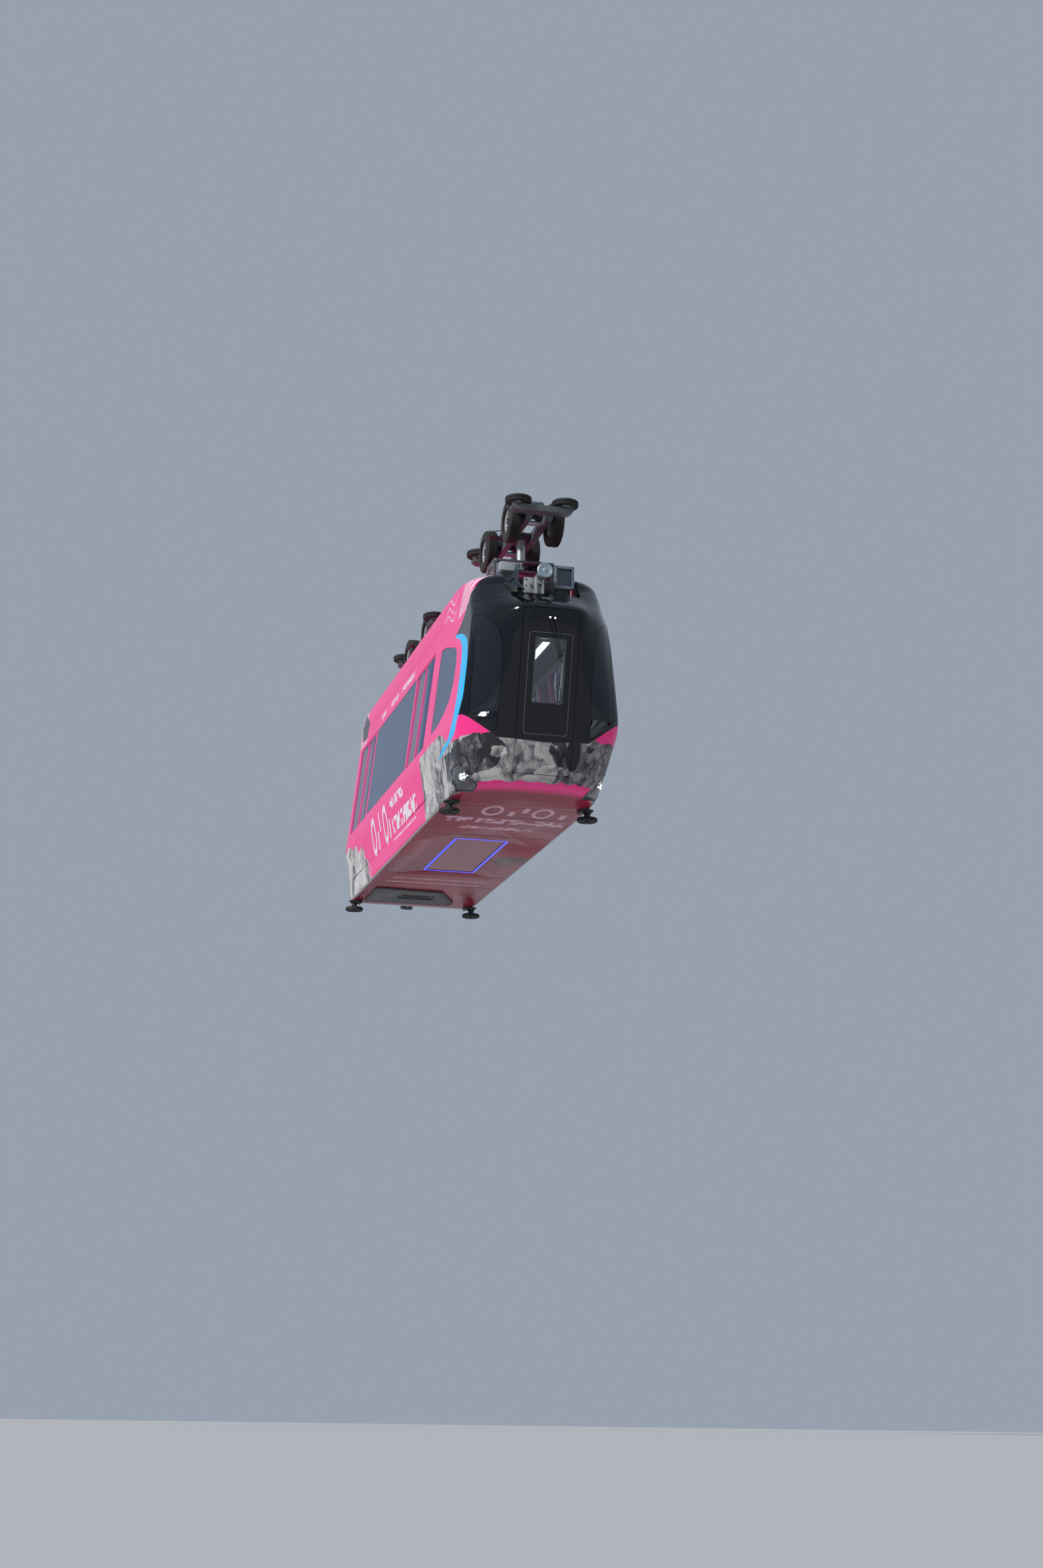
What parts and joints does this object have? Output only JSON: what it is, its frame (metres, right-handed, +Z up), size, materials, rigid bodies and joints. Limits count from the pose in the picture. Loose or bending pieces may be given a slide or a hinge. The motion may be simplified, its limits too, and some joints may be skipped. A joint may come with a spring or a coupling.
{
  "type": "suspended monorail car",
  "caption": "Leading car of a suspended monorail train: pink body with a raked black nose, hung from two bogies that run inside a track beam.",
  "frame": {"origin": "midway between the two bogies, on the track's running surface", "axes": "+X forward to the nose, +Y to the left of the car, +Z up"},
  "size_m": [10.4951, 2.43, 4.788],
  "materials": {
    "glazing": "gloss",
    "body_paint": "gloss",
    "mask_paint": "gloss",
    "nose_paint": "gloss",
    "lamp_lens": "gloss",
    "bellows_fabric": "matte",
    "pale_metal": "satin",
    "steel": "satin",
    "tyre_rubber": "matte",
    "roller_polymer": "matte",
    "hose_rubber": "matte",
    "interior_lining": "matte",
    "dark_fittings": "satin"
  },
  "bodies": {
    "car_body": {"floor_pan": "body_paint", "floor_window": "glazing", "underfloor_cover": "dark_fittings", "door_glass_front_right_aft": "glazing", "door_glass_front_right_fore": "glazing", "door_glass_front_left_aft": "glazing", "door_glass_front_left_fore": "glazing", "door_glass_rear_right_aft": "glazing", "door_glass_rear_right_fore": "glazing", "door_glass_rear_left_aft": "glazing", "door_glass_rear_left_fore": "glazing", "side_door_front_right": "body_paint", "side_door_front_left": "body_paint", "side_door_rear_right": "body_paint", "side_door_rear_left": "body_paint", "side_wall_right": "body_paint", "side_wall_left": "body_paint", "side_window_right": "glazing", "side_window_left": "glazing", "cab_window_right": "glazing", "cab_window_left": "glazing", "headlamp_right": "lamp_lens", "headlamp_left": "lamp_lens", "corner_window_right": "glazing", "corner_window_left": "glazing", "nose_lower_shell": "nose_paint", "nose_mask": "mask_paint", "roof_front_fairing": "mask_paint", "roof_shell": "body_paint", "rear_end_wall": "pale_metal", "gangway_bellows": "bellows_fabric", "coupler_bar": "steel", "ceiling_and_benches": "interior_lining", "driver_desk": "dark_fittings", "rescue_coupler": "pale_metal", "recess_equipment": "dark_fittings", "air_hose": "hose_rubber", "hanger_front": "steel", "hanger_rear": "steel"},
    "emergency_door": {"emergency_door": "mask_paint", "emergency_door_glass": "glazing", "emergency_door_wiper": "dark_fittings"},
    "bogie_front": {"bogie_frame_front": "steel"},
    "wheelset_front_fore": {"wheelset_front_fore": "tyre_rubber"},
    "guide_wheel_front_fore_right": {"guide_wheel_front_fore_right": "tyre_rubber"},
    "guide_wheel_front_fore_left": {"guide_wheel_front_fore_left": "tyre_rubber"},
    "wheelset_front_aft": {"wheelset_front_aft": "tyre_rubber"},
    "guide_wheel_front_aft_right": {"guide_wheel_front_aft_right": "tyre_rubber"},
    "guide_wheel_front_aft_left": {"guide_wheel_front_aft_left": "tyre_rubber"},
    "bogie_rear": {"bogie_frame_rear": "steel"},
    "wheelset_rear_fore": {"wheelset_rear_fore": "tyre_rubber"},
    "guide_wheel_rear_fore_right": {"guide_wheel_rear_fore_right": "tyre_rubber"},
    "guide_wheel_rear_fore_left": {"guide_wheel_rear_fore_left": "tyre_rubber"},
    "wheelset_rear_aft": {"wheelset_rear_aft": "tyre_rubber"},
    "guide_wheel_rear_aft_right": {"guide_wheel_rear_aft_right": "tyre_rubber"},
    "guide_wheel_rear_aft_left": {"guide_wheel_rear_aft_left": "tyre_rubber"},
    "station_roller_front_right": {"station_roller_front_right": "roller_polymer"},
    "station_roller_front_left": {"station_roller_front_left": "roller_polymer"},
    "station_roller_rear_right": {"station_roller_rear_right": "roller_polymer"},
    "station_roller_rear_left": {"station_roller_rear_left": "roller_polymer"}
  },
  "joints": [
    {"name": "bogie_front_yaw", "type": "hinge", "parent": "car_body", "child": "bogie_front", "pos_m": [3, 0, 0.33], "axis": [0, 0, 1], "range_deg": [-6, 6]},
    {"name": "wheelset_front_fore_spin", "type": "hinge", "parent": "bogie_front", "child": "wheelset_front_fore", "pos_m": [3.75, 0, 0.33], "axis": [0, 1, 0], "continuous": true},
    {"name": "guide_wheel_front_fore_right_spin", "type": "hinge", "parent": "bogie_front", "child": "guide_wheel_front_fore_right", "pos_m": [4.3, -0.36, 0.47], "axis": [0, 0, 1], "continuous": true},
    {"name": "guide_wheel_front_fore_left_spin", "type": "hinge", "parent": "bogie_front", "child": "guide_wheel_front_fore_left", "pos_m": [4.3, 0.36, 0.47], "axis": [0, 0, 1], "continuous": true},
    {"name": "wheelset_front_aft_spin", "type": "hinge", "parent": "bogie_front", "child": "wheelset_front_aft", "pos_m": [2.25, 0, 0.33], "axis": [0, 1, 0], "continuous": true},
    {"name": "guide_wheel_front_aft_right_spin", "type": "hinge", "parent": "bogie_front", "child": "guide_wheel_front_aft_right", "pos_m": [1.7, -0.36, 0.47], "axis": [0, 0, 1], "continuous": true},
    {"name": "guide_wheel_front_aft_left_spin", "type": "hinge", "parent": "bogie_front", "child": "guide_wheel_front_aft_left", "pos_m": [1.7, 0.36, 0.47], "axis": [0, 0, 1], "continuous": true},
    {"name": "bogie_rear_yaw", "type": "hinge", "parent": "car_body", "child": "bogie_rear", "pos_m": [-3, 0, 0.33], "axis": [0, 0, 1], "range_deg": [-6, 6]},
    {"name": "wheelset_rear_fore_spin", "type": "hinge", "parent": "bogie_rear", "child": "wheelset_rear_fore", "pos_m": [-2.25, 0, 0.33], "axis": [0, 1, 0], "continuous": true},
    {"name": "guide_wheel_rear_fore_right_spin", "type": "hinge", "parent": "bogie_rear", "child": "guide_wheel_rear_fore_right", "pos_m": [-1.7, -0.36, 0.47], "axis": [0, 0, 1], "continuous": true},
    {"name": "guide_wheel_rear_fore_left_spin", "type": "hinge", "parent": "bogie_rear", "child": "guide_wheel_rear_fore_left", "pos_m": [-1.7, 0.36, 0.47], "axis": [0, 0, 1], "continuous": true},
    {"name": "wheelset_rear_aft_spin", "type": "hinge", "parent": "bogie_rear", "child": "wheelset_rear_aft", "pos_m": [-3.75, 0, 0.33], "axis": [0, 1, 0], "continuous": true},
    {"name": "guide_wheel_rear_aft_right_spin", "type": "hinge", "parent": "bogie_rear", "child": "guide_wheel_rear_aft_right", "pos_m": [-4.3, -0.36, 0.47], "axis": [0, 0, 1], "continuous": true},
    {"name": "guide_wheel_rear_aft_left_spin", "type": "hinge", "parent": "bogie_rear", "child": "guide_wheel_rear_aft_left", "pos_m": [-4.3, 0.36, 0.47], "axis": [0, 0, 1], "continuous": true},
    {"name": "station_roller_front_right_spin", "type": "hinge", "parent": "car_body", "child": "station_roller_front_right", "pos_m": [3.1, -1.06, -4.06], "axis": [0, 0, 1], "continuous": true},
    {"name": "station_roller_front_left_spin", "type": "hinge", "parent": "car_body", "child": "station_roller_front_left", "pos_m": [3.1, 1.06, -4.06], "axis": [0, 0, 1], "continuous": true},
    {"name": "station_roller_rear_right_spin", "type": "hinge", "parent": "car_body", "child": "station_roller_rear_right", "pos_m": [-4.816, -1.06, -4.06], "axis": [0, 0, 1], "continuous": true},
    {"name": "station_roller_rear_left_spin", "type": "hinge", "parent": "car_body", "child": "station_roller_rear_left", "pos_m": [-4.816, 1.06, -4.06], "axis": [0, 0, 1], "continuous": true},
    {"name": "emergency_door_hinge", "type": "hinge", "parent": "car_body", "child": "emergency_door", "pos_m": [4.64, 0.44, -3.3], "axis": [0.2046, 0, 0.9788], "range_deg": [0, 95]}
  ]
}
